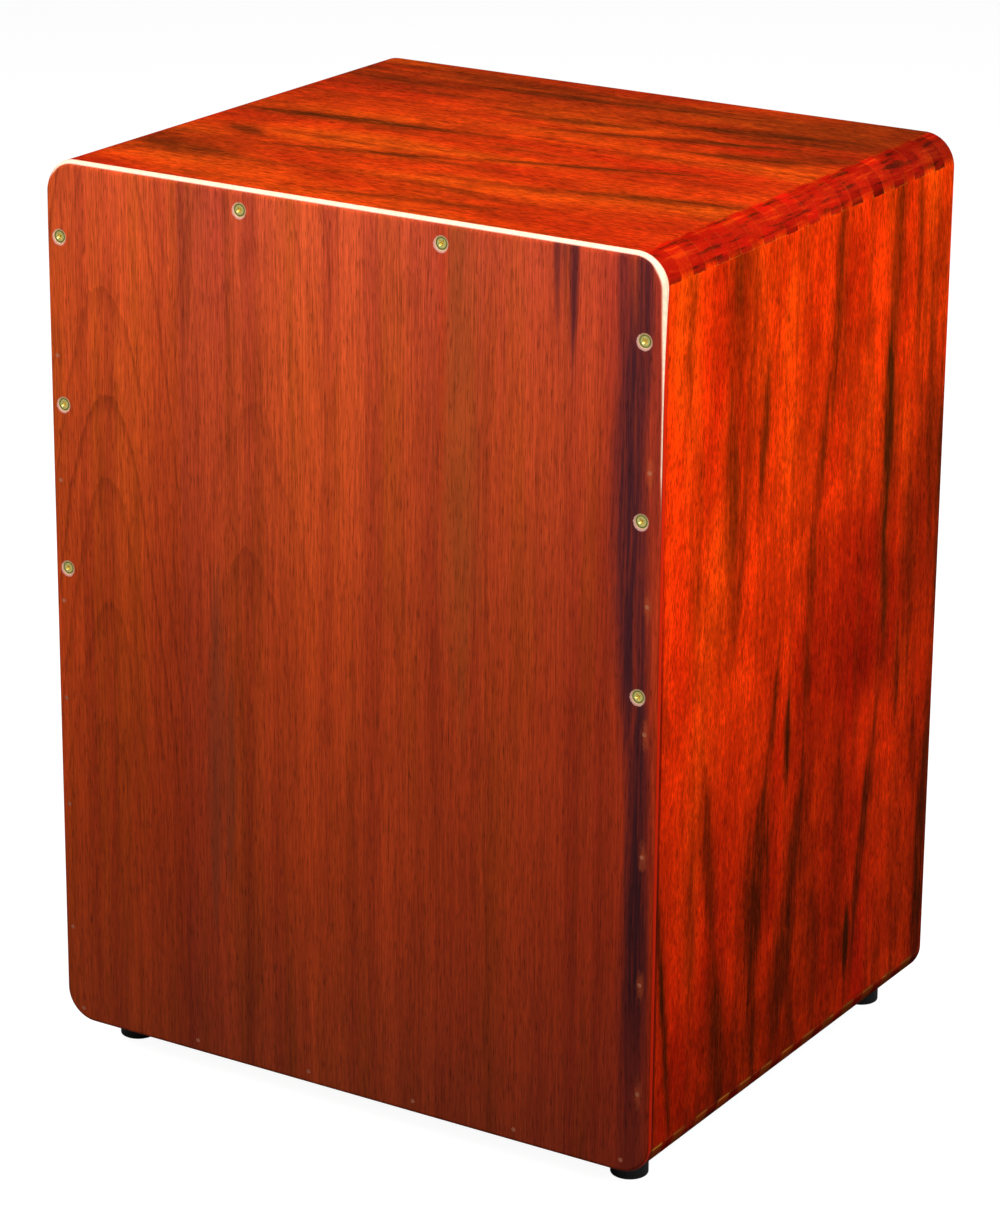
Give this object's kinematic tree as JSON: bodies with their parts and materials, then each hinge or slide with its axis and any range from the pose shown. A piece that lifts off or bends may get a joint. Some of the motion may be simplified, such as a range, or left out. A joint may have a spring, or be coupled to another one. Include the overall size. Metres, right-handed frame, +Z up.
{
  "type": "cajon",
  "caption": "Box drum with a thin playing plate on the front, finger-jointed board body, rear sound hole, rubber feet and inner snares.",
  "frame": {"origin": "middle of the footprint, at the level of the undersides of the feet", "axes": "+Z up, -Y out of the tapa towards the listener, +X to the right for someone who looks at the tapa"},
  "size_m": [0.368, 0.306, 0.4965],
  "materials": {
    "stained_board": "gloss",
    "tapa_veneer": "satin",
    "back_plywood": "satin",
    "bare_wood": "matt",
    "filler": "matt",
    "brass": "satin",
    "steel": "satin",
    "rubber": "matt"
  },
  "bodies": {
    "cajon_body": {"seat_board": "stained_board", "base_board": "stained_board", "left_side_board": "stained_board", "right_side_board": "stained_board", "tapa": "tapa_veneer", "tapa_brads": "steel", "brad_filler": "filler", "back_panel": "back_plywood", "batten_top": "bare_wood", "batten_bottom": "bare_wood", "batten_left": "bare_wood", "batten_right": "bare_wood", "back_panel_screws": "brass", "foot_front_left": "rubber", "foot_front_right": "rubber", "foot_rear_left": "rubber", "foot_rear_right": "rubber", "foot_washers": "steel", "foot_screws": "steel", "snare_bar": "bare_wood", "snare_block_left": "bare_wood", "snare_block_right": "bare_wood", "snare_bar_screws": "brass", "snare_plate_left": "steel", "snare_plate_right": "steel", "snare_plate_screws": "steel", "snare_wires_left": "steel", "snare_wires_right": "steel"},
    "screw_top_left": {"tapa_screw_top_left": "brass"},
    "screw_top_right": {"tapa_screw_top_right": "brass"},
    "screw_left_1": {"tapa_screw_left_1": "brass"},
    "screw_left_2": {"tapa_screw_left_2": "brass"},
    "screw_left_3": {"tapa_screw_left_3": "brass"},
    "screw_right_1": {"tapa_screw_right_1": "brass"},
    "screw_right_2": {"tapa_screw_right_2": "brass"},
    "screw_right_3": {"tapa_screw_right_3": "brass"}
  },
  "joints": [
    {"name": "turn_top_left", "type": "hinge", "parent": "cajon_body", "child": "screw_top_left", "pos_m": [-0.062, -0.153, 0.485], "axis": [0, -1, 0], "range_deg": [0, 300]},
    {"name": "turn_top_right", "type": "hinge", "parent": "cajon_body", "child": "screw_top_right", "pos_m": [0.058, -0.153, 0.485], "axis": [0, -1, 0], "range_deg": [0, 300]},
    {"name": "turn_left_1", "type": "hinge", "parent": "cajon_body", "child": "screw_left_1", "pos_m": [-0.1755, -0.153, 0.4555], "axis": [0, -1, 0], "range_deg": [0, 300]},
    {"name": "turn_left_2", "type": "hinge", "parent": "cajon_body", "child": "screw_left_2", "pos_m": [-0.1755, -0.153, 0.3655], "axis": [0, -1, 0], "range_deg": [0, 300]},
    {"name": "turn_left_3", "type": "hinge", "parent": "cajon_body", "child": "screw_left_3", "pos_m": [-0.1755, -0.153, 0.2755], "axis": [0, -1, 0], "range_deg": [0, 300]},
    {"name": "turn_right_1", "type": "hinge", "parent": "cajon_body", "child": "screw_right_1", "pos_m": [0.173, -0.153, 0.4535], "axis": [0, -1, 0], "range_deg": [0, 300]},
    {"name": "turn_right_2", "type": "hinge", "parent": "cajon_body", "child": "screw_right_2", "pos_m": [0.173, -0.153, 0.3635], "axis": [0, -1, 0], "range_deg": [0, 300]},
    {"name": "turn_right_3", "type": "hinge", "parent": "cajon_body", "child": "screw_right_3", "pos_m": [0.173, -0.153, 0.2735], "axis": [0, -1, 0], "range_deg": [0, 300]}
  ]
}
